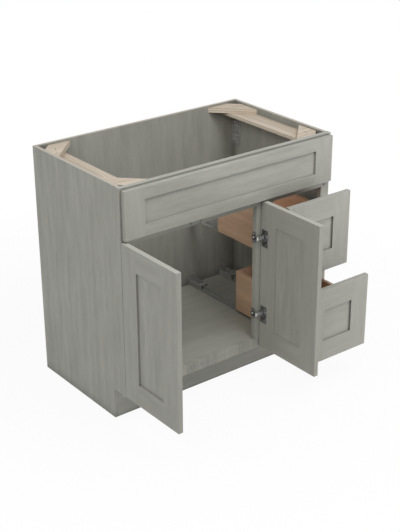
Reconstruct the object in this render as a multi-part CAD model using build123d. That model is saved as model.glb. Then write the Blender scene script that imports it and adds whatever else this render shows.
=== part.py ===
from build123d import *
from math import sqrt
import os

# Vanity base cabinet: a plywood box with a face frame, a false front over the sink space,
# two framed doors on cup hinges and two drawers on full-extension undermount slides.
# Millimetres, +Z up, front towards -Y. The origin is on the floor, at the wall, midway
# along the back. The doors stand open square and the drawers are partly pulled out.

# Cabinet box
cabinet_width = 914.4
cabinet_depth = 533.4
cabinet_height = 876.3
side_thickness = 12.7
back_thickness = 12.7
floor_thickness = 12.7
toe_height = 114.3
toe_recess = 76.2
toe_board_thickness = 12.7

# Face frame, and what shows of it round the closed fronts
frame_overhang = 3.175
frame_thickness = 19.05
edge_reveal = 6.35
mullion_gap = 12.7
inner_rail_width = 38.1
drawer_opening_width = 228.6

# Blocking under the rim, with the holes for countertop screws
block_width = 63.5
block_tip = 42.0
block_thickness = 19.05
block_recess = 6.35
cleat_width = 76.2
cleat_thickness = 12.7
counter_hole_radius = 2.5

# Framed fronts: the infill panel lies between a face lip and a back lip
front_overlay = 31.75
front_gap = 6.35
door_gap = 3.175
false_front_height = 171.45
false_screw_inset = 158.8
front_stile_width = 79.4
front_rail_width = 79.4
false_rail_width = 42.0
face_lip = 6.35
infill_thickness = 9.525
back_lip = 3.175
groove_depth = 9.5
groove_play = 0.1
infill_play = 1.5
edge_round = 1.5

# Bumpers that hold a closed front off the frame
bumper_radius = 4.0
bumper_thickness = 2.7
bumper_play = 0.2
bumper_inset = 22.0

# Hinges; the pin is placed from the door's edge and from its inner face
door_angle = 90.0
hinge_end_distance = 136.0
pin_setback = 6.6
pin_inset = 5.3
pin_radius = 2.0
pin_fit = 0.02
pin_play = 0.05
eye_wall = 1.0
eye_play = 0.4
arm_thickness = 2.2
arm_height = 13.0
arm_play = 1.0
cup_radius = 17.5
cup_wall = 1.2
cup_fit = 0.1
lug_thickness = 4.6
flange_thickness = 1.5
flange_width = 30.0
flange_height = 65.0
base_thickness = 2.5
base_height = 40.0
base_margin = 0.4

# Wood screws
screw_radius = 1.75
screw_head_radius = 3.5
screw_head_thickness = 1.5
screw_grip = 12.0
screw_fit = 0.05
cup_screw_spacing = 48.0
cup_screw_offset = 6.0
base_screw_spacing = 27.0

# Drawer boxes
upper_pull = 98.0
lower_pull = 209.0
box_height = 163.5
box_side_gap = 9.5
box_rear_gap = 21.9
box_wall = 12.7
box_floor_thickness = 6.35
box_floor_recess = 12.7
box_groove = 6.0
front_screw_rise = 45.0

# Undermount slides
slide_drop = 9.0
slide_wall = 1.6
slide_play = 0.4
slide_end_play = 2.2
runner_foot_width = 30.0
runner_rib_width = 6.0
member_flange_width = 24.0
flange_gap = 2.0
skirt_play = 1.4
clip_width = 21.0
clip_length = 44.0
clip_height = 10.0
bracket_floor = 2.0
bracket_wall = 2.0
bracket_play = 0.3
bracket_socket = 12.0
bracket_reach = 62.2
bracket_plate_height = 46.0
bracket_plate_thickness = 2.5
bracket_screw_drop = 9.0
bracket_screw_spacing = 16.0

# Steel angles that tie the back panel to the sides
angle_height = 92.0
angle_side_leg = 34.0
angle_back_leg = 14.0
angle_thickness = 2.0
angle_drop = 44.0
angle_hole_spacing = 32.0

# Sizes of the frame members and fronts that follow
edge_member_width = front_overlay + edge_reveal
mullion_width = 2 * front_overlay + mullion_gap
front_thickness = face_lip + infill_thickness + back_lip
standoff = bumper_thickness + bumper_play

# Planes of the cabinet
left = -cabinet_width / 2
right = cabinet_width / 2
front = -cabinet_depth
frame_back = front + frame_thickness
back_inside = -back_thickness
side_outside = right - frame_overhang
side_inside = side_outside - side_thickness
floor_top = toe_height + edge_member_width
floor_bottom = floor_top - floor_thickness
toe_front = front + toe_recess
rim = cabinet_height
top_opening = rim - edge_member_width

# Openings of the face frame, from left to right
door_opening_left = left + edge_member_width
drawer_opening_right = right - edge_member_width
drawer_opening_left = drawer_opening_right - drawer_opening_width
door_opening_right = drawer_opening_left - mullion_width

# Fronts and the rails that run behind the gaps between them
false_top = top_opening + front_overlay
false_bottom = false_top - false_front_height
fronts_top = false_bottom - front_gap
fronts_bottom = floor_top - front_overlay
middle_rail_centre = false_bottom - front_gap / 2
drawer_front_height = (fronts_top - fronts_bottom - front_gap) / 2
drawer_rail_centre = fronts_bottom + drawer_front_height + front_gap / 2
drawer_pitch = drawer_front_height + front_gap
door_height = fronts_top - fronts_bottom
left_door_edge = door_opening_left - front_overlay
right_door_edge = door_opening_right + front_overlay
door_width = (right_door_edge - left_door_edge - door_gap) / 2
front_face = front - standoff - front_thickness
drawer_front_left = drawer_opening_left - front_overlay
drawer_front_width = drawer_opening_width + 2 * front_overlay

# Hinge sizes that follow from the pin and the overlay
pin_depth = front_thickness - pin_inset
eye_radius = pin_radius + eye_wall
cup_bottom = pin_depth - eye_radius - eye_play - cup_wall
cup_mouth = cup_radius - cup_wall
arm_inside = front_overlay + base_thickness
arm_outside = arm_inside + arm_thickness
cup_centre = arm_outside + arm_play - sqrt(cup_mouth**2 - (arm_height / 2)**2)
lug_edge = pin_setback - eye_radius - eye_play
slot_half = arm_height / 2 + eye_play
lug_half = slot_half + lug_thickness
hinge_heights = (hinge_end_distance, door_height - hinge_end_distance)

# Slide sizes, stacked downwards from the underside of the drawer's floor
slide_foot = floor_top + bracket_floor
member_top = slide_drop + box_floor_recess
middle_top = member_top - slide_wall - slide_play
rib_top = middle_top - slide_wall - slide_play
middle_width = runner_rib_width + 2 * (slide_play + slide_wall)
member_width = middle_width + 2 * (slide_play + slide_wall)

# Drawer box and slides, closed
plate_front = back_inside - bracket_plate_thickness
runner_rear = plate_front - bracket_reach
box_front = front - standoff
box_rear = runner_rear - bracket_socket - box_rear_gap
box_left = drawer_opening_left + box_side_gap
box_right = drawer_opening_right - box_side_gap
box_bottom = slide_foot + slide_drop
runner_front = box_front + box_wall + slide_end_play
slide_inset = box_wall + flange_gap + member_flange_width / 2
slide_lines = (box_left + slide_inset, box_right - slide_inset)

pieces = {}


def slab(x, y, z):
    """Box between two corners, each axis given as its low and high value."""
    spans = (x, y, z)
    size = [high - low for low, high in spans]
    centre = [(low + high) / 2 for low, high in spans]
    return Pos(*centre) * Box(*size)


def rod(radius, start, end, axis, at):
    """Cylinder along one axis between two values; at is its place on the other two axes."""
    middle = (start + end) / 2
    places = {"X": (middle, *at), "Y": (at[0], middle, at[1]), "Z": (*at, middle)}
    turns = {"X": Rot(0, 90, 0), "Y": Rot(90, 0, 0), "Z": Rot(0, 0, 0)}
    return Pos(*places[axis]) * turns[axis] * Cylinder(radius, abs(end - start))


def about(centre, half):
    """Low and high value of a span given by its middle."""
    return (centre - half, centre + half)


def flip(piece):
    """Mirror image across the plane X 0."""
    return mirror(piece, about=Plane.YZ)


def stay(piece):
    """The piece where it is."""
    return piece


def add(node, *solids):
    """Put solids into a node."""
    pieces.setdefault(node, []).extend(solids)


def screw(axis, seat, way, at, grip, play=0):
    """Screw whose head sits on seat and whose shank runs from there by grip, along way."""
    shank = rod(screw_radius + play, seat, seat + way * grip, axis, at)
    return shank + rod(screw_head_radius + play, seat, seat - way * screw_head_thickness, axis, at)


def fasten(store, node, hosts, axis, seat, way, at, grip=screw_grip, place=stay):
    """Add a screw to a node of the store and make room for it in the pieces that it joins."""
    store.setdefault(node, []).append(place(screw(axis, seat, way, at, grip)))
    room = place(screw(axis, seat, way, at, grip, screw_fit))
    for host in hosts:
        store[host] = [piece - room for piece in store[host]]


def framed_front(width, height, rail_width):
    """Stiles, rails and infill panel of a front, outer face on Y 0, lower left corner at 0, 0."""
    infill_depth = (face_lip, face_lip + infill_thickness)
    groove = (infill_depth[0] - groove_play, infill_depth[1] + groove_play)
    depth = (0, front_thickness)
    inner_left = front_stile_width
    inner_right = width - front_stile_width
    tongue = groove_depth - groove_play
    tongue_height = (0, rail_width - groove_depth)

    stile = slab((0, inner_left), depth, (0, height))
    stile -= slab((inner_left - groove_depth, inner_left), groove, (0, height))
    planes = stile.edges().filter_by(Plane.XZ).group_by(Axis.Y)
    outer_edges = planes[0].sort_by(Axis.X)[:-1] + planes[-1].sort_by(Axis.X)[:-1]
    stile = fillet(outer_edges, edge_round)

    rail = slab((inner_left, inner_right), depth, (0, rail_width))
    rail -= slab((inner_left, inner_right), groove, (rail_width - groove_depth, rail_width))
    planes = rail.edges().filter_by(Axis.X).group_by(Axis.Y)
    outer_edges = [planes[0].sort_by(Axis.Z)[0], planes[-1].sort_by(Axis.Z)[0]]
    rail = fillet(outer_edges, edge_round)
    rail += slab((inner_left - tongue, inner_left), infill_depth, tongue_height)
    rail += slab((inner_right, inner_right + tongue), infill_depth, tongue_height)

    reach = groove_depth - infill_play
    infill = slab(
        (inner_left - reach, inner_right + reach),
        infill_depth,
        (rail_width - reach, height - rail_width + reach),
    )
    far_stile = Pos(width, 0, 0) * flip(stile)
    top_rail = Pos(0, 0, height) * mirror(rail, about=Plane.XY)
    return stile, far_stile, rail, top_rail, infill


def build_carcass():
    """Plywood box and toe board."""
    across = (-side_inside, side_inside)
    side = slab((side_inside, side_outside), (frame_back, 0), (0, rim))
    side -= slab((side_inside, side_outside), (frame_back, toe_front), (0, toe_height))
    add("right_side_panel", side)
    add("left_side_panel", flip(side))
    add("back_panel", slab(across, (back_inside, 0), (0, rim)))
    add("bottom_panel", slab(across, (frame_back, back_inside), (floor_bottom, floor_top)))
    add("toe_kick_board", slab(across, (toe_front, toe_front + toe_board_thickness), (0, floor_bottom)))


def build_blocking():
    """Side cleats with a cut-off corner block on each end, drilled for countertop screws."""
    block_top = rim - block_recess
    cleat_top = block_top - block_thickness
    cleat_bottom = cleat_top - cleat_thickness
    block_leg = block_tip + block_width * sqrt(2)
    hole_inset = (block_tip + block_leg) / 4
    cleat_across = (side_inside - cleat_width, side_inside)
    cleat = slab(cleat_across, (frame_back, back_inside), (cleat_bottom, cleat_top))
    outline = Polyline((block_tip, 0), (block_leg, 0), (0, block_leg), (0, block_tip), close=True)
    block = extrude(make_face(outline), block_thickness)
    blocks = [
        Pos(side_inside, frame_back, cleat_top) * flip(block),
        Pos(side_inside, back_inside, cleat_top) * Rot(0, 0, 180) * block,
    ]
    for hole_y in (frame_back + hole_inset, back_inside - hole_inset):
        hole = rod(counter_hole_radius, cleat_bottom, block_top, "Z", (side_inside - hole_inset, hole_y))
        cleat -= hole
        blocks = [piece - hole for piece in blocks]
    add("top_cleats", cleat, flip(cleat))
    add("corner_blocks", *blocks, *[flip(piece) for piece in blocks])
    build_angles(cleat_bottom - angle_drop)


def build_angles(top):
    """Steel angle in each rear corner, screwed to the side and to the back."""
    heights = (top - angle_height, top)
    side_leg = slab((side_inside - angle_thickness, side_inside),
                    (back_inside - angle_side_leg, back_inside), heights)
    back_leg = slab((side_inside - angle_back_leg, side_inside),
                    (back_inside - angle_thickness, back_inside), heights)
    angle = side_leg + back_leg
    add("back_corner_angles", angle, flip(angle))
    side_row = back_inside - (angle_side_leg + angle_thickness) / 2
    back_row = side_inside - (angle_back_leg + angle_thickness) / 2
    for height in about(top - angle_height / 2, angle_hole_spacing / 2):
        for hand, place in (("right", stay), ("left", flip)):
            side_hosts = ("back_corner_angles", f"{hand}_side_panel")
            back_hosts = ("back_corner_angles", "back_panel")
            fasten(pieces, "cabinet_screws", side_hosts, "X", side_inside - angle_thickness, 1,
                   (side_row, height), place=place)
            fasten(pieces, "cabinet_screws", back_hosts, "Y", back_inside - angle_thickness, 1,
                   (back_row, height), place=place)


def build_face_frame():
    """Stiles, mullion and rails of the face frame."""
    depth = (front, frame_back)
    between = (door_opening_left, drawer_opening_right)
    middle_rail = about(middle_rail_centre, inner_rail_width / 2)
    drawer_rail = about(drawer_rail_centre, inner_rail_width / 2)
    add("left_stile", slab((left, door_opening_left), depth, (toe_height, rim)))
    add("right_stile", slab((drawer_opening_right, right), depth, (toe_height, rim)))
    add("top_rail", slab(between, depth, (top_opening, rim)))
    add("middle_rail", slab(between, depth, middle_rail))
    add("bottom_rail", slab(between, depth, (toe_height, floor_top)))
    add("mullion", slab((door_opening_right, drawer_opening_left), depth, (floor_top, middle_rail[0])))
    add("drawer_rail", slab((drawer_opening_left, drawer_opening_right), depth, drawer_rail))


def build_false_front():
    """Fixed front over the sink space, screwed on from behind the rails."""
    width = right - left - 2 * edge_reveal
    place = Pos(-width / 2, front - front_thickness, false_bottom)
    face = framed_front(width, false_front_height, false_rail_width)
    stile, far_stile, low_rail, high_rail, infill = [place * piece for piece in face]
    add("false_front_stiles", stile, far_stile)
    add("false_front_rails", low_rail, high_rail)
    add("false_front_panel", infill)
    low_row = (false_bottom + middle_rail_centre + inner_rail_width / 2) / 2
    high_row = (top_opening + false_top) / 2
    for column in about(0, width / 2 - false_screw_inset):
        for frame_rail, row in (("middle_rail", low_row), ("top_rail", high_row)):
            fasten(pieces, "cabinet_screws", (frame_rail, "false_front_rails"), "Y", frame_back, -1,
                   (column, row), frame_thickness + screw_grip)


def build_bumpers():
    """Soft discs on the frame where the closed fronts come to rest."""
    door_columns = about((left_door_edge + right_door_edge) / 2, bumper_inset)
    drawer_columns = (drawer_opening_left - front_overlay / 2, drawer_opening_right + front_overlay / 2)
    low_row = floor_top - front_overlay / 2
    high_row = (fronts_top + middle_rail_centre - inner_rail_width / 2) / 2
    gap_rows = about(drawer_rail_centre, front_gap / 2 + bumper_inset)
    spots = [(column, row) for column in door_columns for row in (low_row, high_row)]
    spots += [(column, row) for column in drawer_columns for row in (low_row, *gap_rows, high_row)]
    for spot in spots:
        add("frame_bumpers", rod(bumper_radius, front - bumper_thickness, front, "Y", spot))


def hinge_cup():
    """Hinge cup with its flange, and lugs that carry the pin beside the door's edge."""
    back = front_thickness + flange_thickness
    inner_bottom = cup_bottom + cup_wall
    cup = rod(cup_radius, cup_bottom, front_thickness, "Y", (cup_centre, 0))
    cup += slab((lug_edge, cup_centre), (cup_bottom, front_thickness), about(0, lug_half))
    cup += slab(about(cup_centre, flange_width / 2), (front_thickness, back), about(0, flange_height / 2))
    cup -= rod(cup_mouth, inner_bottom, back, "Y", (cup_centre, 0))
    cup -= slab((lug_edge, cup_centre), (inner_bottom, back), about(0, slot_half))
    return cup - rod(pin_radius + pin_fit, -lug_half, lug_half, "Z", (pin_setback, pin_depth))


def cup_pocket():
    """Recess in the door that takes a hinge cup and its lugs."""
    depth = (cup_bottom - cup_fit, front_thickness)
    pocket = rod(cup_radius + cup_fit, *depth, "Y", (cup_centre, 0))
    return pocket + slab((lug_edge - cup_fit, cup_centre), depth, about(0, lug_half + cup_fit))


def hinge_arm():
    """Bent arm from the base plate, through the cup's mouth, to the eye around the pin."""
    tall = about(0, arm_height / 2)
    floor = pin_depth - eye_radius
    rear = front_thickness + standoff + frame_thickness - base_margin
    arm = slab((pin_setback, arm_outside), (floor, floor + arm_thickness), tall)
    arm += slab((arm_inside, arm_outside), (floor, rear), tall)
    arm += rod(eye_radius, *tall, "Z", (pin_setback, pin_depth))
    return arm - rod(pin_radius + pin_play, *tall, "Z", (pin_setback, pin_depth))


def build_door(hand, edge, frame_member, mirrored, angle):
    """Framed door with two hinges; it is laid out closed, hinge edge at X 0, and swung open."""
    turn = flip if mirrored else stay
    pin_x = edge - pin_setback if mirrored else edge + pin_setback
    pin_y = front_face + pin_depth
    swing = Pos(pin_x, pin_y) * Rot(0, 0, angle) * Pos(-pin_x, -pin_y)
    stand = Pos(edge, front_face, fronts_bottom)
    frame_front = front_thickness + standoff
    frame_depth = (frame_front + base_margin, frame_front + frame_thickness - base_margin)
    frame_middle = frame_front + frame_thickness / 2

    stile, far_stile, low_rail, high_rail, infill = framed_front(door_width, door_height, front_rail_width)
    for height in hinge_heights:
        stile -= Pos(0, 0, height) * cup_pocket()
    stile_name = f"{hand}_door_hinge_stile"
    cups_name = f"{hand}_hinge_cups"
    pins_name = f"{hand}_hinge_pins"
    door = {
        stile_name: [stile],
        f"{hand}_door_meeting_stile": [far_stile],
        f"{hand}_door_rails": [low_rail, high_rail],
        f"{hand}_door_panel": [infill],
        cups_name: [Pos(0, 0, height) * hinge_cup() for height in hinge_heights],
        pins_name: [],
    }
    for height in hinge_heights:
        door[pins_name].append(rod(pin_radius, *about(height, lug_half), "Z", (pin_setback, pin_depth)))
        for row in about(height, cup_screw_spacing / 2):
            fasten(door, f"{hand}_hinge_cup_screws", (stile_name, cups_name), "Y", front_thickness, -1,
                   (cup_centre + cup_screw_offset, row))

        base = slab((front_overlay, arm_inside), frame_depth, about(height, base_height / 2))
        add("hinge_base_plates", stand * turn(base))
        add("hinge_arms", stand * turn(Pos(0, 0, height) * hinge_arm()))
        for row in about(height, base_screw_spacing / 2):
            fasten(pieces, "cabinet_screws", ("hinge_base_plates", frame_member), "X", arm_inside, -1,
                   (frame_middle, row), place=lambda piece: stand * turn(piece))
    for node, solids in door.items():
        add(node, *[swing * stand * turn(solid) for solid in solids])


def build_slide_supports(level):
    """Cabinet runners of one drawer, with the feet and rear brackets that hold them."""
    foot = slide_foot + level * drawer_pitch
    rail_top = drawer_rail_centre + inner_rail_width / 2 if level else floor_top
    socket_half = runner_foot_width / 2 + bracket_play
    socket_top = foot + rib_top + bracket_play
    socket_front = runner_rear - bracket_socket
    bracket_top = socket_top + bracket_wall
    bracket_bottom = foot - bracket_floor
    plate_top = bracket_bottom + bracket_plate_height
    run = (runner_front, runner_rear)
    for line in slide_lines:
        foot_across = about(line, runner_foot_width / 2)
        runner = slab(foot_across, run, (foot, foot + slide_wall))
        runner += slab(about(line, runner_rib_width / 2), run, (foot, foot + rib_top))
        add("slide_runners", runner)
        add("slide_front_feet", slab(foot_across, (runner_front, frame_back), (rail_top, foot)))

        across = about(line, socket_half + bracket_wall)
        hollow = about(line, socket_half)
        bracket = slab(across, (socket_front, plate_front), (bracket_bottom, bracket_top))
        bracket -= slab(hollow, (socket_front, runner_rear), (foot, socket_top))
        bracket -= slab(hollow, (runner_rear + bracket_wall, plate_front), (foot, bracket_top))
        bracket += slab(across, (plate_front, back_inside), (bracket_bottom, plate_top))
        add("slide_rear_brackets", bracket)
        for column in about(line, bracket_screw_spacing / 2):
            fasten(pieces, "cabinet_screws", ("slide_rear_brackets", "back_panel"), "Y", plate_front, 1,
                   (column, plate_top - bracket_screw_drop))


def channel(line, width, run, skirt, top):
    """Inverted channel of slide steel along Y."""
    outer = slab(about(line, width / 2), run, (skirt, top))
    return outer - slab(about(line, width / 2 - slide_wall), run, (skirt, top - slide_wall))


def drawer_box():
    """Sides, end walls and floor of a drawer, closed in the lower opening."""
    inside = (box_left + box_wall, box_right - box_wall)
    wall_inside = box_front + box_wall
    box_top = box_bottom + box_height
    floor_low = box_bottom + box_floor_recess
    floor_high = floor_low + box_floor_thickness
    groove = (floor_low - groove_play, floor_high + groove_play)
    floor_reach = box_groove - groove_play
    run = (box_front, box_rear)

    side = slab((box_left, inside[0]), run, (box_bottom, box_top))
    side -= slab((inside[0] - box_groove, inside[0]), run, groove)
    far_side = Pos(box_left + box_right, 0, 0) * flip(side)
    front_wall = slab(inside, (box_front, wall_inside), (box_bottom, box_top))
    front_wall -= slab(inside, (wall_inside - box_groove, wall_inside), groove)
    rear_wall = slab(inside, (box_rear - box_wall, box_rear), (floor_high, box_top))
    floor_across = (inside[0] - floor_reach, inside[1] + floor_reach)
    floor = slab(floor_across, (wall_inside - floor_reach, box_rear), (floor_low, floor_high))
    return {"box_sides": [side, far_side], "box_ends": [front_wall, rear_wall], "box_bottom": [floor]}


def slide_parts():
    """Drawer members, clips and middle members of one drawer's slides, closed in the lower opening."""
    wall_inside = box_front + box_wall
    member_run = (wall_inside + slide_end_play, box_rear)
    middle_run = (runner_front + slide_end_play, box_rear)
    clip_run = (wall_inside, wall_inside + clip_length)
    middle_skirt = slide_foot + slide_wall + skirt_play
    under_floor = slide_foot + member_top
    members = []
    clips = []
    middles = []
    for line, inward in zip(slide_lines, (1, -1)):
        flange = about(line, member_flange_width / 2)
        member = channel(line, member_width, member_run, middle_skirt + skirt_play, under_floor)
        members.append(member + slab(flange, member_run, (under_floor - slide_wall, under_floor)))
        clip_across = about(line + inward * (member_flange_width + clip_width) / 2, clip_width / 2)
        clips.append(slab(clip_across, clip_run, (under_floor - clip_height, under_floor)))
        middles.append(channel(line, middle_width, middle_run, middle_skirt, slide_foot + middle_top))
    return members, clips, middles


def build_drawer(name, level, pull):
    """Drawer front, box and slides; laid out closed in the lower opening, then moved."""
    stand = Pos(drawer_front_left, front_face, fronts_bottom)
    face = framed_front(drawer_front_width, drawer_front_height, front_rail_width)
    stile, far_stile, low_rail, high_rail, infill = [stand * piece for piece in face]
    members, clips, middles = slide_parts()
    drawer = {
        "front_stiles": [stile, far_stile],
        "front_rails": [low_rail, high_rail],
        "front_panel": [infill],
        "slide_members": members,
        "slide_clips": clips,
        **drawer_box(),
    }
    stile_solid = front_stile_width - groove_depth
    screw_inset = (box_left - drawer_front_left + box_wall + stile_solid) / 2
    screw_columns = (drawer_front_left + screw_inset, drawer_front_left + drawer_front_width - screw_inset)
    for column in screw_columns:
        for row in (box_bottom + front_screw_rise, box_bottom + box_height - front_screw_rise):
            fasten(drawer, "front_screws", ("front_stiles", "box_ends"), "Y", box_front + box_wall, -1,
                   (column, row), box_wall + screw_grip)
    rise = level * drawer_pitch
    for role, solids in drawer.items():
        add(f"{name}_drawer_{role}", *[Pos(0, -pull, rise) * solid for solid in solids])
    add(f"{name}_slide_middles", *[Pos(0, -pull / 2, rise) * solid for solid in middles])


build_carcass()
build_blocking()
build_face_frame()
build_false_front()
build_bumpers()
build_door("left", left_door_edge, "left_stile", False, -door_angle)
build_door("right", right_door_edge, "mullion", True, door_angle)
build_slide_supports(0)
build_slide_supports(1)
build_drawer("lower", 0, lower_pull)
build_drawer("upper", 1, upper_pull)

os.makedirs("parts", exist_ok=True)
for node_name, node_pieces in pieces.items():
    node_solids = [solid for piece in node_pieces for solid in piece.solids()]
    whole = node_solids[0] if len(node_solids) == 1 else Compound(node_solids)
    export_step(whole, f"parts/{node_name}.step")
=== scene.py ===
from math import copysign, cos, pi, radians, sin

import bmesh
import bpy
from mathutils import Matrix, Vector


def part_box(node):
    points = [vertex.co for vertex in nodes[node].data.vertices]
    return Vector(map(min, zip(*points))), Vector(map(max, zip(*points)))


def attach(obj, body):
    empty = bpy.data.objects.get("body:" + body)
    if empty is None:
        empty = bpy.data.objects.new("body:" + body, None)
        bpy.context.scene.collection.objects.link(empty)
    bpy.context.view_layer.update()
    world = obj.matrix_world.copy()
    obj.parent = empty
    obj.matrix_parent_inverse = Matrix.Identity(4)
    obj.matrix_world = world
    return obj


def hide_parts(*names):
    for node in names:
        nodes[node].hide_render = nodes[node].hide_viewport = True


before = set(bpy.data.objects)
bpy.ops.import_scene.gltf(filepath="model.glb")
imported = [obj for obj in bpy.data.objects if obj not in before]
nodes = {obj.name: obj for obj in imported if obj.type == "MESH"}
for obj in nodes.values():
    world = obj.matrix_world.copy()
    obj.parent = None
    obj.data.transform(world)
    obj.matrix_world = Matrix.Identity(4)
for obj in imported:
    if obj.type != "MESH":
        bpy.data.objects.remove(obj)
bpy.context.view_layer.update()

# Camera, from the box's own edges: place and aim in metres, focal length and
# principal point in pixels of the picture
PICTURE = (400, 532)
FOCAL_PIXELS = 1178.2
PRINCIPAL_X = 213.8
CAMERA_AT = (-2.3727, -3.4287, 2.1998)
CAMERA_AIM = (0.1346, -0.2674, 0.3461)
SENSOR = 36.0
VIEW_END = 100.0

# Soft square lamps: place, aim and size in metres, power in watts
LAMPS = {
    "high_front": ((0.2, -1.8, 3.6), (0.0, -0.1, 0.5), 1.5, 50.0),
    "high_left": ((-2.6, -2.6, 3.8), (0.0, -0.42, 0.44), 2.0, 21.0),
    "over_left_side": ((-3.0, -1.2, 3.0), (0.4, -0.1, 0.6), 1.5, 29.0),
    "beside_drawers": ((1.7, -1.9, 0.40), (0.35, -0.7, 0.35), 0.7, 11.5),
}
SKY_LIGHT = 0.33

# Floor in metres; between two distances from its middle its share of plain white rises
FLOOR_REACH = 8.0
FLOOR_DROP = 0.0005
SHADOW_FADE = (0.7, 1.5)
SHADOW_WHITE = (0.94, 1.0)

# Directions of the grain and of ply layers
ALONG_X = (1, 0, 0)
ALONG_Y = (0, 1, 0)
ALONG_Z = (0, 0, 1)

# Colours, linear
STAIN_DEEP = (0.335, 0.335, 0.298, 1)
STAIN_PALE = (0.437, 0.437, 0.392, 1)
STAIN_PORE = (0.150, 0.150, 0.132, 1)
# Painted shade, darkened into the stain in inside corners
STAIN_PAINTED_SHADE = (0.040, 0.040, 0.035, 1)
# Lighter stain: worn edges, also painted highlight on edges and painted light on top faces
STAIN_WEAR_AND_HIGHLIGHT = (0.500, 0.495, 0.452, 1)
RIM_CUT = (0.500, 0.455, 0.390, 1)
BARE_BIRCH_DEEP = (0.490, 0.420, 0.335, 1)
CLEAT_PALE = (0.700, 0.610, 0.505, 1)
BLOCK_PALE = (0.765, 0.665, 0.552, 1)
# Pale cut edge of bare birch, lightened further as painted light on upright faces
BARE_EDGE_AND_PAINTED_LIGHT = (0.800, 0.705, 0.575, 1)
# Dark birch: growth lines and ply layers, also painted shade in inside corners
BARE_LAYER_AND_SHADE = (0.310, 0.235, 0.165, 1)
DRAWER_BIRCH_DEEP = (0.600, 0.380, 0.245, 1)
DRAWER_BIRCH_PALE = (0.770, 0.520, 0.362, 1)
# Dark birch of the drawers: pores and layers, also painted shade in inside corners
DRAWER_LAYER_AND_SHADE = (0.360, 0.200, 0.120, 1)
FLOOR_GREY = (0.75, 0.75, 0.75, 1)
WHITE = (1, 1, 1, 1)

# Sockets of a mix of colours: factor, first colour and second colour, and the result
MIX_INPUTS = (0, 6, 7)
MIX_RESULT = 2

# Bands of noise, waves and masks that are stretched to run from zero to one
TONE_BAND = (0.34, 0.66)
PORE_BAND = (0.60, 0.70)
LAYER_BAND = (0.45, 0.75)
CORNER_SHADE_BAND = (0.95, 0.35)
EDGE_WEAR_AND_HIGHLIGHT_BAND = (0.99, 0.78)
PATCH_BAND = (0.35, 0.65)
CLOUD_BAND = (0.3, 0.7)

# Shares of fine and broad streaks in the grain, and the depth of pores against streaks
FINE_SHARE = 0.4
BROAD_SHARE = 0.6
PORE_DEPTH = 0.6

# Z part of the normal above which a face looks up, and below which it stands upright
LOOKS_UP = 0.7
UPRIGHT = 0.5

# Reaches of masks, metres: painted corner shade on boards and on the box's panels, edges lightened partly
# by wear and partly as painted highlight, rim
BOARD_REACH = 0.012
PANEL_REACH = 0.045
WOOD_EDGE = 0.0015
METAL_EDGE = 0.0008
RIM_DEPTH = 0.001

# Contrast of the stained grain, and the share of painted light that lightens the top faces of doors and
# mullion
BOARD_CONTRAST = 0.5
RAIL_CONTRAST = 0.6
PANEL_CONTRAST = 0.9
TOP_PAINTED_LIGHT = 0.7

# Millimetres, in which the small hardware and all rounds are drawn
MM = 0.001
WOOD_BEVEL = 0.4
BOTTOM_RAIL_BEVEL = 1.0
METAL_BEVEL = 0.25
WELD_REACH = 0.002

# Degrees past which an edge is rounded, and past which it is shaded sharp
ROUND_ANGLE = 40
SHARP_ANGLE = 35

# Digits of metres to which points of a solid are the same, and the least divisor
SAME_DIGITS = 6
LEAST_PART = 1e-6

# Points round the hinge eyes, the bumpers, the hinge cups and the base plates
EYE_POINTS = 32
DOME_POINTS = 24
CUP_POINTS = 96
BASE_POINTS = 48

# Wood screws; the head's crown is drawn by shares of its rise and by radii, and the taper is a share
SCREW_RADIUS = 1.75
SCREW_ROOT = 1.25
SCREW_TIP = 0.7
SCREW_HEAD = 3.5
SCREW_HEAD_RISE = 1.5
CUP_SCREW_RISE = 2.1
SCREW_CROWN = ((0.92, 2.6), (0.5, 3.4))
SCREW_PITCH = 1.2
CROSS_LENGTH = 1.9
CROSS_WIDTH = 0.5
CROSS_DEPTH = 1.0
CROSS_TAPER = 0.6

# Points of a screw that lie more shank radii than this off its axis belong to the head
HEAD_REACH = 1.6

# Hinge cups, from the pin: along the open door, up, and out of the door's inner face
CUP_CENTRE = 15.9
CUP_MOUTH = 16.3
CUP_OUTSIDE = 17.4
CUP_BOTTOM = -4.6
CUP_FLOOR = -3.4
DOOR_INNER_FACE = 5.3
SLOT_END = 19.0
SLOT_HALF = 6.9
LUG_END = 19.2
LUG_HALF = 11.4
FLANGE_HALF = (15.5, 32.5)
FLANGE_RIM = 18.4
FLANGE_TAB = (20.6, 9.0)
FLANGE_TOP = 6.8
FLANGE_EDGE_DROP = 0.4
FLANGE_EDGE_INSET = 0.5

# Bead round a cup's mouth: rise above the flange and growth past the mouth
CUP_BEAD = ((0.0, 1.2), (0.5, 0.8), (0.3, 0.2), (-0.8, 0.0))

# Hinge arms and base plates, from the pin: into the opening, back, and up
STRIP_START = 0.5
ARM_END = 29.85
ARM_FRONT = -3.0
ARM_REAR = 26.85
ARM_THICKNESS = 2.2
ARM_BEND = 4.0
ARM_BEND_STEPS = 5
ARM_HALF = 6.5
ARM_BASE_HALF = 8.5
LEG_NARROW_END = 8.5
LEG_WIDE_START = 12.0
LEG_TIP_LENGTH = 3.0
LEG_TIP_INSET = 2.5
EYE_RADIUS = 3.0
PIN_HOLE = 2.05
ADJUSTER_SINK = 0.7
ADJUSTER_FORWARD = 8.0
ADJUSTER_GRIP = 4.0
BASE_FACE = 27.65
BASE_THICKNESS = 2.5
BASE_HALF = (9.1, 20.0)

# Pressed groove of an arm: its depth, and its edge and floor as shares of the arm's half height
GROOVE_DEPTH = 0.7
GROOVE_EDGE = 0.62
GROOVE_FLOOR = 0.45

# Base plates: the power that rounds the corners, and each ring's drop below the face and inset
BASE_ROUNDING = 0.35
BASE_EDGE = ((0.7, 0.0), (0.1, 0.5), (0.0, 1.2))

# Bumper domes: radius and height of each ring
DOME = ((4.0, 0.0), (4.0, 1.0), (3.7, 1.8), (2.8, 2.4), (1.3, 2.7))

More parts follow.
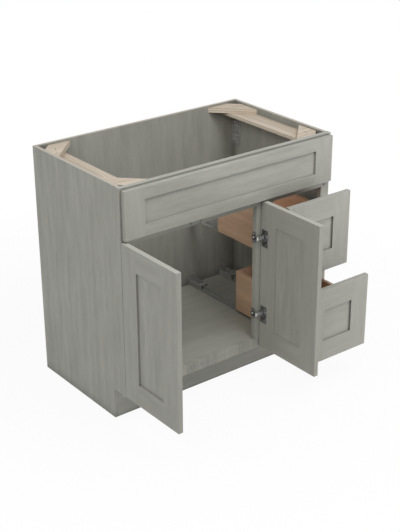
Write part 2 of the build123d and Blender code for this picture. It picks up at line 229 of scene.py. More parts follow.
# Steel angles: breaks of the side leg, of the back leg and of the height, and the slots
ANGLE_SIDE_LEG = (0.0, 5.0, 13.0, 21.0, 29.0, 32.0, 34.0)
ANGLE_BACK_LEG = (1.5, 5.0, 11.0, 14.0)
ANGLE_HEIGHT = (0.0, 6.0, 13.0, 25.0, 36.0, 42.0, 50.0, 56.0, 67.0, 79.0, 86.0, 92.0)
ANGLE_THICKNESS = 2.0
ANGLE_SIDE_SLOTS = ((1, 1), (3, 1), (1, 5), (2, 5), (3, 5), (1, 9), (3, 9))
ANGLE_BACK_SLOTS = ((1, 1), (1, 5), (1, 9))


def put(tree, kind, inputs=None, **settings):
    """Add a node, set its properties, and fill its inputs with values or links."""
    node = tree.nodes.new("ShaderNode" + kind)
    for key, setting in settings.items():
        setattr(node, key, setting)
    for key, given in (inputs or {}).items():
        if isinstance(given, bpy.types.NodeSocket):
            tree.links.new(given, node.inputs[key])
        else:
            node.inputs[key].default_value = given
    return node


def calc(tree, operation, *values):
    """Output of a Math node."""
    return put(tree, "Math", dict(enumerate(values)), operation=operation).outputs[0]


def calc_vector(tree, operation, *values):
    """Output of a Vector Math node."""
    return put(tree, "VectorMath", dict(enumerate(values)), operation=operation).outputs[0]


def scaled(tree, vector, factor):
    """Vector times a number."""
    return put(tree, "VectorMath", {0: vector, "Scale": factor}, operation="SCALE").outputs[0]


def dot(tree, first, second):
    """Dot product of two vectors."""
    return put(tree, "VectorMath", {0: first, 1: second}, operation="DOT_PRODUCT").outputs["Value"]


def own_place(tree):
    """Coordinates on the piece itself, in metres."""
    return put(tree, "TexCoord").outputs["Object"]


def noise(tree, place, **inputs):
    """Value of a noise at a place."""
    return put(tree, "TexNoise", {"Vector": place, **inputs}).outputs[0]


def tint(tree, factor, first, second):
    """Colour mixed from two, the second one by factor."""
    inputs = dict(zip(MIX_INPUTS, (factor, first, second)))
    return put(tree, "Mix", inputs, data_type="RGBA").outputs[MIX_RESULT]


def lay_over(tree, colour, second, mask, share):
    """Colour with a second one laid over it by a share of a mask."""
    return tint(tree, calc(tree, "MULTIPLY", mask, share), colour, second)


def spread(tree, given, low, high, to_low=0.0, to_high=1.0):
    """Value stretched from one range to another and held inside it."""
    inputs = {"Value": given, "From Min": low, "From Max": high, "To Min": to_low, "To Max": to_high}
    return put(tree, "MapRange", inputs).outputs[0]


def new_group(name, inputs, outputs):
    """Shader node group with named sockets; gives its tree, its inputs and a function to set outputs."""
    tree = bpy.data.node_groups.new(name, "ShaderNodeTree")
    for socket, kind, default in inputs:
        made = tree.interface.new_socket(socket, in_out="INPUT", socket_type="NodeSocket" + kind)
        made.default_value = default
    for socket in outputs:
        tree.interface.new_socket(socket, in_out="OUTPUT", socket_type="NodeSocketFloat")
    entry = tree.nodes.new("NodeGroupInput")
    leave = tree.nodes.new("NodeGroupOutput")

    def give(**results):
        for socket, result in results.items():
            tree.links.new(result, leave.inputs[socket])
    return tree, entry.outputs, give


def use(tree, group, **inputs):
    """Outputs of a group placed in a material with its own values."""
    node = tree.nodes.new("ShaderNodeGroup")
    node.node_tree = group
    for socket, given in inputs.items():
        node.inputs[socket].default_value = given
    return node.outputs


def grain_group():
    """Wood grain: streaks along one direction, short pores, and the relief of both."""
    tree, given, give = new_group(
        "wood_grain",
        [("Grain", "Vector", ALONG_Z), ("Streaks", "Float", 170.0), ("Length", "Float", 20.0)],
        ["Tone", "Pores", "Height"],
    )
    across = scaled(tree, calc_vector(tree, "SUBTRACT", (1, 1, 1), given["Grain"]), given["Streaks"])
    along = scaled(tree, given["Grain"], given["Length"])
    stretched = calc_vector(tree, "MULTIPLY", own_place(tree), calc_vector(tree, "ADD", across, along))
    fine = noise(tree, stretched, Scale=1.0, Detail=5.0, Roughness=0.6)
    broad = noise(tree, stretched, Scale=0.22, Detail=2.0)
    pores = spread(tree, noise(tree, stretched, Scale=3.6, Detail=2.0), *PORE_BAND)
    fine_part = calc(tree, "MULTIPLY", fine, FINE_SHARE)
    broad_part = calc(tree, "MULTIPLY", broad, BROAD_SHARE)
    tone = spread(tree, calc(tree, "ADD", fine_part, broad_part), *TONE_BAND)
    height = calc(tree, "SUBTRACT", fine, calc(tree, "MULTIPLY", pores, PORE_DEPTH))
    give(Tone=tone, Pores=pores, Height=height)
    return tree


def layers_group():
    """Lines stacked along one direction: ply layers on a cut edge, or growth lines that wander more."""
    sockets = [("Stack", "Vector", ALONG_Z), ("Layer", "Float", 0.0017)]
    sockets += [("Wander", "Float", 0.3), ("Waves", "Float", 60.0)]
    tree, given, give = new_group("ply_layers", sockets, ["Dark"])
    place = own_place(tree)
    level = calc(tree, "DIVIDE", dot(tree, place, given["Stack"]), given["Layer"])
    wander = noise(tree, place, Scale=given["Waves"], Detail=2.0)
    bent = calc(tree, "ADD", level, calc(tree, "MULTIPLY", wander, given["Wander"]))
    give(Dark=spread(tree, calc(tree, "PINGPONG", bent, 1.0), *LAYER_BAND))
    return tree


def corners_group():
    """Mask of painted shade in inside corners, from ambient occlusion within a reach."""
    tree, given, give = new_group("painted_corner_shade", [("Reach", "Float", BOARD_REACH)], ["Mask"])
    open_air = put(tree, "AmbientOcclusion", {"Distance": given["Reach"]}, samples=8).outputs["AO"]
    give(Mask=spread(tree, open_air, *CORNER_SHADE_BAND))
    return tree


def edges_group():
    """Mask of edges lightened partly by wear and partly as painted highlight, broken up by a fine noise."""
    tree, given, give = new_group("edges_worn_and_highlit", [("Width", "Float", WOOD_EDGE)], ["Mask"])
    rounded = put(tree, "Bevel", {"Radius": given["Width"]}, samples=4).outputs[0]
    flat = put(tree, "NewGeometry").outputs["True Normal"]
    edge = spread(tree, dot(tree, rounded, flat), *EDGE_WEAR_AND_HIGHLIGHT_BAND)
    patches = spread(tree, noise(tree, own_place(tree), Scale=140.0, Detail=3.0), *PATCH_BAND)
    give(Mask=calc(tree, "MULTIPLY", edge, patches))
    return tree


WOOD_GRAIN = grain_group()
PLY_LAYERS = layers_group()
PAINTED_CORNER_SHADE = corners_group()
WORN_AND_HIGHLIT_EDGES = edges_group()


def new_finish(name, **plain):
    """Material with one Principled shader whose uniform values are set on its own sockets."""
    material = bpy.data.materials.new(name)
    material.use_nodes = True
    tree = material.node_tree
    shader = tree.nodes["Principled BSDF"]
    for socket, given in plain.items():
        shader.inputs[socket.replace("_", " ")].default_value = given
    return material, tree, shader


def link_finish(tree, shader, colour, roughness, height, depth, strength=0.5):
    """Link a colour and a roughness to a shader, with a relief that is depth metres deep."""
    bump = put(tree, "Bump", {"Height": height, "Distance": depth, "Strength": strength})
    tree.links.new(colour, shader.inputs["Base Color"])
    tree.links.new(roughness, shader.inputs["Roughness"])
    tree.links.new(bump.outputs["Normal"], shader.inputs["Normal"])


def upward(tree):
    """Z part of a face's own normal."""
    return put(tree, "SeparateXYZ", {0: put(tree, "NewGeometry").outputs["True Normal"]}).outputs["Z"]


def top_mask(tree):
    """Mask of faces that look up."""
    return calc(tree, "GREATER_THAN", upward(tree), LOOKS_UP)


def rim_mask(tree):
    """Mask of faces that look up at the cabinet's rim."""
    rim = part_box("top_rail")[1].z
    height = put(tree, "SeparateXYZ", {0: own_place(tree)}).outputs["Z"]
    high = calc(tree, "GREATER_THAN", height, rim - RIM_DEPTH)
    return calc(tree, "MULTIPLY", top_mask(tree), high)


def stained_wood(name, grain, cut_stack=None, contrast=1.0, painted_shade=0.45, painted_top_light=0.0):
    """Satin grey-green stain on wood, with painted shade in inside corners, edges lightened partly by wear
    and partly as painted highlight, and top faces lightened as painted light by painted_top_light.

    With cut_stack it is one of the box's panels, with ply layers stacked that way on its rim.
    """
    material, tree, shader = new_finish(name, Specular_IOR_Level=0.35)
    wood = use(tree, WOOD_GRAIN, Grain=grain, Streaks=170.0, Length=20.0)
    tone = spread(tree, wood["Tone"], 0, 1, to_low=0.5 - contrast / 2, to_high=0.5 + contrast / 2)
    colour = tint(tree, tone, STAIN_DEEP, STAIN_PALE)
    colour = lay_over(tree, colour, STAIN_PORE, wood["Pores"], share=0.18 * contrast)
    # Painted shade: inside corners darkened by the occlusion mask
    corner = use(tree, PAINTED_CORNER_SHADE, Reach=PANEL_REACH if cut_stack else BOARD_REACH)["Mask"]
    colour = lay_over(tree, colour, STAIN_PAINTED_SHADE, corner, share=painted_shade)
    # Edges lightened, partly worn and partly painted highlight
    edge = use(tree, WORN_AND_HIGHLIT_EDGES, Width=WOOD_EDGE)["Mask"]
    colour = lay_over(tree, colour, STAIN_WEAR_AND_HIGHLIGHT, edge, share=0.35)
    # Painted light: faces that look up made lighter
    if painted_top_light:
        colour = lay_over(tree, colour, STAIN_WEAR_AND_HIGHLIGHT, top_mask(tree), share=painted_top_light)
    if cut_stack:
        layers = use(tree, PLY_LAYERS, Stack=cut_stack, Layer=0.0021)["Dark"]
        cut = lay_over(tree, RIM_CUT, STAIN_DEEP, layers, share=0.35)
        colour = tint(tree, rim_mask(tree), colour, cut)
    roughness = spread(tree, wood["Tone"], 0, 1, to_low=0.58, to_high=0.46)
    link_finish(tree, shader, colour, roughness, wood["Height"], depth=0.0002)
    return material


def bare_birch(name, grain, across, pale):
    """Bare birch plywood: face grain, growth lines side by side across it, layers on upright edges, which
    are lightened partly by their own pale colour and partly as painted light, and painted shade in inside
    corners.
    """
    material, tree, shader = new_finish(name, Specular_IOR_Level=0.3)
    wood = use(tree, WOOD_GRAIN, Grain=grain, Streaks=220.0, Length=12.0)
    colour = tint(tree, wood["Tone"], BARE_BIRCH_DEEP, pale)
    growth = use(tree, PLY_LAYERS, Stack=across, Layer=0.006, Wander=6.0, Waves=9.0)["Dark"]
    colour = lay_over(tree, colour, BARE_LAYER_AND_SHADE, growth, share=0.32)
    # Upright cut edges made lighter, partly their own colour and partly painted light
    upright = calc(tree, "LESS_THAN", calc(tree, "ABSOLUTE", upward(tree)), UPRIGHT)
    layers = use(tree, PLY_LAYERS, Stack=ALONG_Z, Layer=0.0045)["Dark"]
    cut = lay_over(tree, BARE_EDGE_AND_PAINTED_LIGHT, BARE_LAYER_AND_SHADE, layers, share=0.42)
    colour = tint(tree, upright, colour, cut)
    # Painted shade in inside corners
    corner = use(tree, PAINTED_CORNER_SHADE, Reach=0.03)["Mask"]
    colour = lay_over(tree, colour, BARE_LAYER_AND_SHADE, corner, share=0.6)
    roughness = spread(tree, wood["Tone"], 0, 1, to_low=0.68, to_high=0.6)
    link_finish(tree, shader, colour, roughness, wood["Height"], depth=0.0002)
    return material


def drawer_birch(name, grain, stack):
    """Clear-coated birch of the drawer boxes, with layers on the top edges."""
    material, tree, shader = new_finish(name, Specular_IOR_Level=0.4)
    wood = use(tree, WOOD_GRAIN, Grain=grain, Streaks=150.0, Length=8.0)
    colour = tint(tree, wood["Tone"], DRAWER_BIRCH_DEEP, DRAWER_BIRCH_PALE)
    colour = lay_over(tree, colour, DRAWER_LAYER_AND_SHADE, wood["Pores"], share=0.25)
    layers = use(tree, PLY_LAYERS, Stack=stack, Layer=0.0018)["Dark"]
    top_layers = calc(tree, "MULTIPLY", top_mask(tree), layers)
    colour = lay_over(tree, colour, DRAWER_LAYER_AND_SHADE, top_layers, share=0.5)
    # Painted shade in inside corners
    corner = use(tree, PAINTED_CORNER_SHADE, Reach=0.02)["Mask"]
    colour = lay_over(tree, colour, DRAWER_LAYER_AND_SHADE, corner, share=0.25)
    roughness = spread(tree, wood["Tone"], 0, 1, to_low=0.46, to_high=0.36)
    link_finish(tree, shader, colour, roughness, wood["Height"], depth=0.00015)
    return material


def plated(name, dull, bright, rough, metallic=1.0):
    """Plated sheet metal with cloudy brightness and edges lightened, partly by wear and partly as painted
    highlight.
    """
    material, tree, shader = new_finish(name, Metallic=metallic)
    cloud = noise(tree, own_place(tree), Scale=90.0, Detail=4.0)
    colour = tint(tree, spread(tree, cloud, *CLOUD_BAND), dull, bright)
    # Edges whitened, partly worn plating and partly painted highlight
    edge = use(tree, WORN_AND_HIGHLIT_EDGES, Width=METAL_EDGE)["Mask"]
    colour = lay_over(tree, colour, WHITE, edge, share=0.4)
    roughness = spread(tree, cloud, *CLOUD_BAND, *rough)
    link_finish(tree, shader, colour, roughness, cloud, depth=0.0001, strength=0.3)
    return material


def moulded(name, deep, pale, rough):
    """Moulded plastic or rubber with a fine texture."""
    material, tree, shader = new_finish(name, Specular_IOR_Level=0.4)
    speckle = noise(tree, own_place(tree), Scale=700.0, Detail=2.0)
    colour = tint(tree, spread(tree, speckle, *CLOUD_BAND), deep, pale)
    roughness = spread(tree, speckle, *CLOUD_BAND, *rough)
    link_finish(tree, shader, colour, roughness, speckle, depth=0.0001, strength=0.4)
    return material


RAIL_STAIN = stained_wood("stain_frame_rail", ALONG_X, contrast=RAIL_CONTRAST)
DARK_NICKEL = plated(
    "dark_nickel", dull=(0.15, 0.15, 0.15, 1), bright=(0.28, 0.28, 0.28, 1), rough=(0.30, 0.45),
)
BRIGHT_NICKEL = plated(
    "bright_nickel", dull=(0.62, 0.62, 0.61, 1), bright=(0.84, 0.84, 0.82, 1), rough=(0.28, 0.42),
    metallic=0.7,
)
SCREW_ZINC = plated(
    "screw_zinc", dull=(0.34, 0.34, 0.33, 1), bright=(0.48, 0.48, 0.47, 1), rough=(0.30, 0.45),
)
SLIDE_STEEL = plated(
    "slide_steel", dull=(0.30, 0.30, 0.28, 1), bright=(0.38, 0.38, 0.36, 1), rough=(0.45, 0.60),
    metallic=0.25,
)
GALVANISED = plated(
    "galvanised_angle", dull=(0.42, 0.42, 0.41, 1), bright=(0.58, 0.58, 0.57, 1), rough=(0.45, 0.60),
    metallic=0.5,
)
NYLON = moulded("grey_nylon", deep=(0.32, 0.32, 0.30, 1), pale=(0.40, 0.40, 0.38, 1), rough=(0.5, 0.62))
SOFT_PAD = moulded("soft_pad", deep=(0.33, 0.33, 0.30, 1), pale=(0.40, 0.40, 0.36, 1), rough=(0.5, 0.62))


def soften(piece, width):
    """Small rounds on the sharp edges of a piece, width in millimetres."""
    weld = piece.modifiers.new("weld", "WELD")
    weld.merge_threshold = WELD_REACH * MM
    rounds = piece.modifiers.new("rounds", "BEVEL")
    rounds.width = width * MM
    rounds.segments = 2
    rounds.limit_method = "ANGLE"
    rounds.angle_limit = radians(ROUND_ANGLE)
    rounds.use_clamp_overlap = True


def dress(finish, bevel, *names):
    """Give a finish and softened edges to CAD nodes."""
    for name in names:
        slots = nodes[name].data.materials
        slots.clear()
        slots.append(finish)
        soften(nodes[name], bevel)


def dress_box():
    """Finishes of the box, the face frame and the false front."""
    frame_stile = stained_wood("stain_frame_stile", ALONG_Z, contrast=BOARD_CONTRAST)
    side_panel = stained_wood("stain_side_panel", ALONG_Z, ALONG_X, contrast=PANEL_CONTRAST)
    back_panel = stained_wood("stain_back_panel", ALONG_Z, ALONG_Y, contrast=PANEL_CONTRAST)
    cabinet_floor = stained_wood("stain_cabinet_floor", ALONG_X, contrast=BOARD_CONTRAST)
    bottom_rail = stained_wood("stain_bottom_rail", ALONG_Z, contrast=1.2)
    false_front = stained_wood("stain_false_front", ALONG_X, contrast=0.8, painted_shade=0.25)
    dress(side_panel, WOOD_BEVEL, "left_side_panel", "right_side_panel")
    dress(back_panel, WOOD_BEVEL, "back_panel")
    dress(cabinet_floor, WOOD_BEVEL, "bottom_panel")
    dress(bottom_rail, BOTTOM_RAIL_BEVEL, "bottom_rail")
    dress(frame_stile, WOOD_BEVEL, "left_stile", "right_stile", "false_front_stiles")
    dress(RAIL_STAIN, WOOD_BEVEL, "top_rail", "middle_rail", "drawer_rail", "toe_kick_board")
    dress(false_front, WOOD_BEVEL, "false_front_rails", "false_front_panel")


def dress_doors():
    """Finishes of the doors, and of the mullion that the right one hangs on."""
    mullion = stained_wood(
        "stain_mullion", ALONG_Z, contrast=BOARD_CONTRAST, painted_shade=0.1, painted_top_light=TOP_PAINTED_LIGHT)
    stile = stained_wood("stain_door_stile", ALONG_Z, contrast=BOARD_CONTRAST, painted_top_light=TOP_PAINTED_LIGHT)
    rail = stained_wood("stain_door_rail", ALONG_Y, contrast=BOARD_CONTRAST, painted_top_light=TOP_PAINTED_LIGHT)
    panel = stained_wood("stain_door_panel", ALONG_Z, contrast=PANEL_CONTRAST)
    dress(mullion, WOOD_BEVEL, "mullion", "right_door_hinge_stile")
    dress(stile, WOOD_BEVEL, "left_door_hinge_stile")
    for hand in ("left", "right"):
        dress(stile, WOOD_BEVEL, f"{hand}_door_meeting_stile")
        dress(rail, WOOD_BEVEL, f"{hand}_door_rails")
        dress(panel, WOOD_BEVEL, f"{hand}_door_panel")


def dress_drawers():
    """Finishes of the drawer fronts and boxes."""
    stile = stained_wood("stain_drawer_stile", ALONG_Z, contrast=RAIL_CONTRAST, painted_shade=0.95)
    box_side = drawer_birch("drawer_side_birch", ALONG_Y, ALONG_X)
    box_end = drawer_birch("drawer_end_birch", ALONG_X, ALONG_Y)
    for level in ("upper", "lower"):
        dress(stile, WOOD_BEVEL, f"{level}_drawer_front_stiles")
        dress(RAIL_STAIN, WOOD_BEVEL, f"{level}_drawer_front_rails", f"{level}_drawer_front_panel")
        dress(box_side, WOOD_BEVEL, f"{level}_drawer_box_sides", f"{level}_drawer_box_bottom")
        dress(box_end, WOOD_BEVEL, f"{level}_drawer_box_ends")


def dress_supports():
    """Finishes of the bare cleats and corner blocks under the rim."""
    cleat = bare_birch("bare_birch_cleat", ALONG_Y, ALONG_X, CLEAT_PALE)
    block = bare_birch("bare_birch_block", ALONG_X, ALONG_Y, BLOCK_PALE)
    dress(cleat, WOOD_BEVEL, "top_cleats")
    dress(block, WOOD_BEVEL, "corner_blocks")


def dress_slides():
    """Finishes of the slides and the hinge pins."""
    dress(SLIDE_STEEL, METAL_BEVEL, "slide_runners")
    dress(NYLON, METAL_BEVEL, "slide_front_feet", "slide_rear_brackets")
    for hand in ("left", "right"):
        dress(BRIGHT_NICKEL, METAL_BEVEL, f"{hand}_hinge_pins")
    for level in ("upper", "lower"):
        dress(SLIDE_STEEL, METAL_BEVEL, f"{level}_slide_middles", f"{level}_drawer_slide_members")
        dress(NYLON, METAL_BEVEL, f"{level}_drawer_slide_clips")


def solids_of(name):
    """Points of each separate solid of a CAD node."""
    mesh = nodes[name].data
    spots = {}
    spot_of = []
    for vertex in mesh.vertices:
        key = tuple(round(value, SAME_DIGITS) for value in vertex.co)
        spot_of.append(spots.setdefault(key, len(spots)))
    leader = list(range(len(spots)))

    def lead(spot):
        while leader[spot] != spot:
            spot = leader[spot]
        return spot
    for polygon in mesh.polygons:
        first = lead(spot_of[polygon.vertices[0]])
        for index in polygon.vertices[1:]:
            leader[lead(spot_of[index])] = first
    solids = {}
    for key, spot in spots.items():
        solids.setdefault(lead(spot), []).append(Vector(key))
    return list(solids.values())


def span(points):
    """Low corner, high corner and middle of some points."""
    low = Vector([min(point[axis] for point in points) for axis in range(3)])
    high = Vector([max(point[axis] for point in points) for axis in range(3)])
    return low, high, (low + high) / 2


def local(origin, *directions):
    """Function that turns a point in millimetres along three directions into a place in metres."""
    turn = Matrix([Vector(direction) * MM for direction in directions]).transposed()
    return lambda point: Vector(origin) + turn @ Vector(point)


def loft(place, *rings):
    """Closed shell through rings that have the same number of points."""
    points = [place(point) for ring in rings for point in ring]
    count = len(rings[0])
    last = len(points) - count
    faces = [tuple(range(count)), tuple(range(last, len(points)))]
    for start in range(0, last, count):
        for step in range(count):
            after = (step + 1) % count
            faces.append((start + step, start + after, start + count + after, start + count + step))
    return points, faces


def circle(radius, height, count):
    """Ring of a circle."""
    turns = [2 * pi * step / count for step in range(count)]
    return [(radius * cos(turn), radius * sin(turn), height) for turn in turns]


def build_piece(name, shells, finish, slot, body, *stands_for):
    """One object from closed shells that rides on a body in place of CAD nodes."""
    work = bmesh.new()
    for points, faces in shells:
        corners = [work.verts.new(point) for point in points]
        for face in faces:
            work.faces.new([corners[index] for index in face])
    bmesh.ops.recalc_face_normals(work, faces=work.faces)
    mesh = bpy.data.meshes.new(name)
    work.to_mesh(mesh)
    work.free()
    mesh.materials.append(finish)
    mesh.shade_smooth()
    mesh.set_sharp_from_angle(angle=radians(SHARP_ANGLE))
    piece = bpy.data.objects.new(name, mesh)
    bpy.context.scene.collection.objects.link(piece)
    soften(piece, METAL_BEVEL)
    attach(piece, body)
    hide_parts(*stands_for)


def cross(scale):
    """Outline of a cross recess, corner by corner."""
    length = CROSS_LENGTH * scale
    width = CROSS_WIDTH * scale
    quarter = [(length, -width), (length, width), (width, width)]
    outline = []
    for step in range(4):
        turn = step * pi / 2
        outline += [(u * cos(turn) - v * sin(turn), u * sin(turn) + v * cos(turn)) for u, v in quarter]
    return [Vector(corner) for corner in outline]


def cross_ring(height, scale=1.0, radius=None):
    """Ring at the corners of the cross, or on a circle in the same directions."""
    corners = cross(scale)
    if radius:
        corners = [corner.normalized() * radius for corner in corners]
    return [(corner.x, corner.y, height) for corner in corners]


def screw_shell(place, grip, rise):
    """Pan-head wood screw with a cross recess, its seat at height 0 and its shank below."""
    rings = [cross_ring(rise - CROSS_DEPTH, CROSS_TAPER), cross_ring(rise)]
    rings += [cross_ring(rise * share, radius=radius) for share, radius in SCREW_CROWN]
    rings += [cross_ring(0, radius=radius) for radius in (SCREW_HEAD, SCREW_RADIUS)]
    depth = SCREW_PITCH
    while depth < grip - 2 * SCREW_PITCH:
        rings.append(cross_ring(-depth, radius=SCREW_ROOT))
        rings.append(cross_ring(-depth - SCREW_PITCH / 2, radius=SCREW_RADIUS))
        depth += SCREW_PITCH
    rings.append(cross_ring(-grip + SCREW_PITCH, radius=SCREW_ROOT))
    rings.append(cross_ring(-grip, radius=SCREW_TIP))
    return loft(place, *rings)


def screw_shells(name, rise=SCREW_HEAD_RISE):
    """Screws in the places of a CAD node's solids."""
    shells = []
    for points in solids_of(name):
        low, high, middle = span(points)
        size = high - low
        axis = max(range(3), key=lambda index: size[index])
        wide = [point for point in points if (point - middle)[axis - 1] > HEAD_REACH * SCREW_RADIUS * MM]
        head = sum(point[axis] for point in wide) / len(wide)
        outward = Vector((0, 0, 0))
        outward[axis] = 1 if head > middle[axis] else -1
        seat = middle + outward * (size[axis] / 2 - SCREW_HEAD_RISE * MM)
        across = outward.yzx
        place = local(seat, across, outward.cross(across), outward)
        shells.append(screw_shell(place, size[axis] / MM - SCREW_HEAD_RISE, rise))
    return shells


def build_screws():
    """All wood screws, with modelled heads and threads."""
    for name, body in (("cabinet_screws", "cabinet"), ("upper_drawer_front_screws", "upper_drawer"),
                       ("lower_drawer_front_screws", "lower_drawer")):
        build_piece(name + "_turned", screw_shells(name), SCREW_ZINC, "screw_steel", body, name)
    for hand in ("left", "right"):
        name = f"{hand}_hinge_cup_screws"
        shells = screw_shells(name, CUP_SCREW_RISE)
        build_piece(name + "_turned", shells, SCREW_ZINC, "screw_steel", f"{hand}_door", name)


def to_edge(turn, half_width, half_height):
    """Distance from the middle of a rectangle to its edge in one direction."""
    to_side = half_width / max(abs(cos(turn)), LEAST_PART)
    to_end = half_height / max(abs(sin(turn)), LEAST_PART)
    return min(to_side, to_end)


def cup_ring(height, round_part, edge_part=None, block_part=None, grow=0.0):
    """Ring round a hinge cup: a circle, with a tab towards the door's edge and a rectangle, where given."""
    ring = []
    for step in range(CUP_POINTS):
        turn = 2 * pi * (step + 0.5) / CUP_POINTS
        radius = round_part
        if edge_part and cos(turn) < 0:
            radius = max(radius, to_edge(turn, *edge_part))
        if block_part:
            radius = max(radius, to_edge(turn, *block_part))
        radius += grow
        ring.append((CUP_CENTRE + radius * cos(turn), radius * sin(turn), height))
    return ring


def cup_shell(place):
    """Hinge cup: outer wall, flange, bead round the mouth and the hollow inside."""
    well = (CUP_OUTSIDE, (LUG_END, LUG_HALF))
    flange = (FLANGE_RIM, FLANGE_TAB, FLANGE_HALF)
    mouth = (CUP_MOUTH, (SLOT_END, SLOT_HALF))
    bead = [cup_ring(FLANGE_TOP + rise, *mouth, grow=grow) for rise, grow in CUP_BEAD]
    return loft(
        place,
        cup_ring(CUP_BOTTOM, *well),
        cup_ring(DOOR_INNER_FACE, *well),
        cup_ring(DOOR_INNER_FACE, *flange),
        cup_ring(FLANGE_TOP - FLANGE_EDGE_DROP, *flange),
        cup_ring(FLANGE_TOP, *flange, grow=-FLANGE_EDGE_INSET),
        *bead,
        cup_ring(CUP_FLOOR, *mouth),
    )


def arm_section(half):
    """Section of a hinge arm: a strip with a pressed groove, as thickness and height."""
    edge = GROOVE_EDGE * half
    floor = GROOVE_FLOOR * half
    outer = [(0, -half), (0, -edge), (GROOVE_DEPTH, -floor), (GROOVE_DEPTH, floor), (0, edge), (0, half)]
    inner = [(depth + ARM_THICKNESS, height) for depth, height in reversed(outer)]
    return outer + inner


def strip_path():
    """Stations of an arm's strip, from the eye to the end of the bend: place, turn and half height."""
    along = ARM_END - ARM_BEND
    back = ARM_FRONT + ARM_BEND
    path = [(STRIP_START, ARM_FRONT, 0.0, ARM_HALF), (along, ARM_FRONT, 0.0, ARM_HALF)]
    for step in range(1, ARM_BEND_STEPS + 1):
        turn = step * pi / (2 * ARM_BEND_STEPS)
        path.append((along + ARM_BEND * sin(turn), back - ARM_BEND * cos(turn), turn, ARM_HALF))
    return path


def leg_path():
    """Stations of an arm's leg, from the bend back along the base plate."""
    return [
        (ARM_END, ARM_FRONT + ARM_BEND, pi / 2, ARM_HALF),
        (ARM_END, LEG_NARROW_END, pi / 2, ARM_HALF),
        (ARM_END, LEG_WIDE_START, pi / 2, ARM_BASE_HALF),
        (ARM_END, ARM_REAR - LEG_TIP_LENGTH, pi / 2, ARM_BASE_HALF),
        (ARM_END, ARM_REAR, pi / 2, ARM_BASE_HALF - LEG_TIP_INSET),
    ]


def arm_shell(place, path):
    """Strip or leg of a hinge arm along its stations."""
    rings = []
    for along, back, turn, half in path:
        rings.append([(along - depth * sin(turn), back + depth * cos(turn), height)
                      for depth, height in arm_section(half)])
    return loft(place, *rings)


def eye_shell(place):
    """Rolled eye of a hinge arm, open for the pin."""
    points = []
    for height in (-ARM_HALF, ARM_HALF):
        for radius in (EYE_RADIUS, PIN_HOLE):
            points += [place(point) for point in circle(radius, height, EYE_POINTS)]
    faces = []
    for step in range(EYE_POINTS):
        after = (step + 1) % EYE_POINTS
        for first, second in ((0, 1), (1, 3), (3, 2), (2, 0)):
            start = first * EYE_POINTS
            end = second * EYE_POINTS
            faces.append((start + step, start + after, end + after, end + step))
    return points, faces


def base_shell(place):
    """Hinge base plate with rounded corners and a softened face."""
    middle = ARM_REAR - BASE_HALF[0]

    def bulge(half, value):
        return half * copysign(abs(value) ** BASE_ROUNDING, value)

    def outline(depth, inset):
        ring = []
        for step in range(BASE_POINTS):
            turn = 2 * pi * step / BASE_POINTS
            back = middle + bulge(BASE_HALF[0] - inset, cos(turn))
            ring.append((depth, back, bulge(BASE_HALF[1] - inset, sin(turn))))
        return ring
    face = [outline(BASE_FACE - drop, inset) for drop, inset in BASE_EDGE]
    return loft(place, outline(BASE_FACE - BASE_THICKNESS, 0.0), *face)


def build_hinges():
    """Cups on the doors, and arms with base plates on the frame."""
    arms = []
    legs = []
    bases = []
    for hand, inward in (("left", 1), ("right", -1)):
        cups = []
        for points in solids_of(f"{hand}_hinge_pins"):
            pin = span(points)[2]
            cups.append(cup_shell(local(pin, (0, -1, 0), ALONG_Z, (inward, 0, 0))))
            from_frame = local(pin, (inward, 0, 0), ALONG_Y, ALONG_Z)
            arms += [arm_shell(from_frame, strip_path()), eye_shell(from_frame)]
            seat = from_frame((ARM_END - ADJUSTER_SINK, ARM_REAR - ADJUSTER_FORWARD, 0))
            from_seat = local(seat, ALONG_Y, ALONG_Z, (inward, 0, 0))
            arms.append(screw_shell(from_seat, ADJUSTER_GRIP, SCREW_HEAD_RISE))
            legs.append(arm_shell(from_frame, leg_path()))
            bases.append(base_shell(from_frame))
        build_piece(f"{hand}_hinge_cup_pressed", cups, DARK_NICKEL, "hinge_steel",
                    f"{hand}_door", f"{hand}_hinge_cups")
    build_piece("hinge_arm_pressed", arms, BRIGHT_NICKEL, "hinge_arm_nickel", "cabinet", "hinge_arms")
    # The legs are pressed with the arm, and get the base plates' dark nickel as painted shade
    build_piece("hinge_arm_legs_painted_shade", legs, DARK_NICKEL, "hinge_steel", "cabinet", "hinge_arms")
    build_piece("hinge_base_pressed", bases, DARK_NICKEL, "hinge_steel", "cabinet", "hinge_base_plates")


def build_bumpers():
    """Domed pads on the frame."""
    domes = []
    for points in solids_of("frame_bumpers"):
        _, high, middle = span(points)
        place = local((middle.x, high.y, middle.z), ALONG_X, ALONG_Z, (0, -1, 0))
        domes.append(loft(place, *[circle(radius, height, DOME_POINTS) for radius, height in DOME]))
    build_piece("frame_bumper_domes", domes, SOFT_PAD, "bumper_rubber", "cabinet", "frame_bumpers")


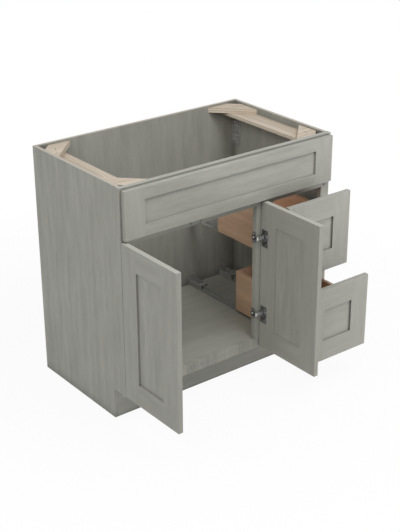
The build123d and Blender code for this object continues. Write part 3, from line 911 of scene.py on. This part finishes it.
def slotted_plate(place, breaks, heights, slots):
    """Flat plate with rectangular slots; slots are named by the breaks that they start from."""
    columns = len(breaks) - 1
    rows = len(heights) - 1
    points = []
    for depth in (0.0, ANGLE_THICKNESS):
        points += [place((across, height, depth)) for height in heights for across in breaks]
    layer = len(breaks) * len(heights)

    def solid(column, row):
        return 0 <= column < columns and 0 <= row < rows and (column, row) not in slots

    def corner(column, row, top):
        return top * layer + row * len(breaks) + column
    faces = []
    for row in range(rows):
        for column in range(columns):
            if not solid(column, row):
                continue
            loop = [(column, row), (column + 1, row), (column + 1, row + 1), (column, row + 1)]
            for top in (0, 1):
                faces.append(tuple(corner(*spot, top) for spot in loop))
            beside = [(column, row - 1), (column + 1, row), (column, row + 1), (column - 1, row)]
            for side, neighbour in enumerate(beside):
                if solid(*neighbour):
                    continue
                first = loop[side]
                second = loop[(side + 1) % 4]
                faces.append((corner(*first, 0), corner(*second, 0), corner(*second, 1), corner(*first, 1)))
    return points, faces


def build_angles():
    """Slotted steel angles in the rear corners."""
    plates = []
    for points in solids_of("back_corner_angles"):
        low, high, middle = span(points)
        inward = -1 if middle.x > 0 else 1
        wall = high.x if inward < 0 else low.x
        side = local((wall, low.y, low.z), ALONG_Y, ALONG_Z, (inward, 0, 0))
        back = local((wall, high.y, low.z), (inward, 0, 0), ALONG_Z, (0, -1, 0))
        plates.append(slotted_plate(side, ANGLE_SIDE_LEG, ANGLE_HEIGHT, ANGLE_SIDE_SLOTS))
        plates.append(slotted_plate(back, ANGLE_BACK_LEG, ANGLE_HEIGHT, ANGLE_BACK_SLOTS))
    build_piece("rear_angle_plates", plates, GALVANISED, "angle_steel", "cabinet", "back_corner_angles")


def seen_directly(tree):
    """One where the camera, a mirror or glass looks at it, zero where it lights the object."""
    ray = put(tree, "LightPath").outputs
    by_eye = calc(tree, "MAXIMUM", ray["Is Camera Ray"], ray["Is Glossy Ray"])
    return calc(tree, "MAXIMUM", by_eye, ray["Is Transmission Ray"])


def build_floor():
    """Pale floor that shows white and keeps a faint shadow."""
    mesh = bpy.data.meshes.new("floor")
    signs = ((-1, -1), (1, -1), (1, 1), (-1, 1))
    corners = [(FLOOR_REACH * across, FLOOR_REACH * deep, 0) for across, deep in signs]
    mesh.from_pydata(corners, [], [(0, 1, 2, 3)])
    floor = bpy.data.objects.new("floor", mesh)
    floor.location.z = -FLOOR_DROP
    bpy.context.scene.collection.objects.link(floor)
    material, tree, shader = new_finish(
        "pale_floor", Base_Color=FLOOR_GREY, Roughness=0.9, Specular_IOR_Level=0.0)
    glow = put(tree, "Emission", {"Color": WHITE, "Strength": 1.0})
    away = put(tree, "VectorMath", {0: own_place(tree)}, operation="LENGTH").outputs["Value"]
    white = spread(tree, away, *SHADOW_FADE, *SHADOW_WHITE)
    share = calc(tree, "MULTIPLY", seen_directly(tree), white)
    mixed = put(tree, "MixShader", {0: share, 1: shader.outputs[0], 2: glow.outputs[0]})
    tree.links.new(mixed.outputs[0], tree.nodes["Material Output"].inputs["Surface"])
    mesh.materials.append(material)


def build_world():
    """White background for the camera, plain soft light for the object."""
    world = bpy.data.worlds.new("studio")
    world.use_nodes = True
    bpy.context.scene.world = world
    tree = world.node_tree
    sky = tree.nodes["Background"]
    sky.inputs["Color"].default_value = WHITE
    strength = spread(tree, seen_directly(tree), 0, 1, to_low=SKY_LIGHT, to_high=1.0)
    tree.links.new(strength, sky.inputs["Strength"])


def stand(name, data, place, target):
    """Lamp or camera at a place, turned to a target."""
    thing = bpy.data.objects.new(name, data)
    thing.location = place
    thing.rotation_euler = (Vector(target) - Vector(place)).to_track_quat("-Z", "Y").to_euler()
    bpy.context.scene.collection.objects.link(thing)
    return thing


def build_lamps():
    """Soft square lamps round the cabinet."""
    for name, (place, target, size, power) in LAMPS.items():
        lamp = bpy.data.lights.new(name, "AREA")
        lamp.size = size
        lamp.energy = power
        stand(name, lamp, place, target)


def build_camera():
    """Camera at the picture's viewing angle."""
    lens = bpy.data.cameras.new("camera")
    long_side = max(PICTURE)
    lens.sensor_width = SENSOR
    lens.lens = FOCAL_PIXELS / long_side * SENSOR
    lens.shift_x = (PICTURE[0] / 2 - PRINCIPAL_X) / long_side
    lens.clip_end = VIEW_END
    bpy.context.scene.camera = stand("camera", lens, CAMERA_AT, CAMERA_AIM)


dress_box()
dress_doors()
dress_drawers()
dress_supports()
dress_slides()
build_screws()
build_hinges()
build_bumpers()
build_angles()
build_floor()
build_world()
build_lamps()
build_camera()
bpy.context.scene.view_settings.view_transform = "Standard"
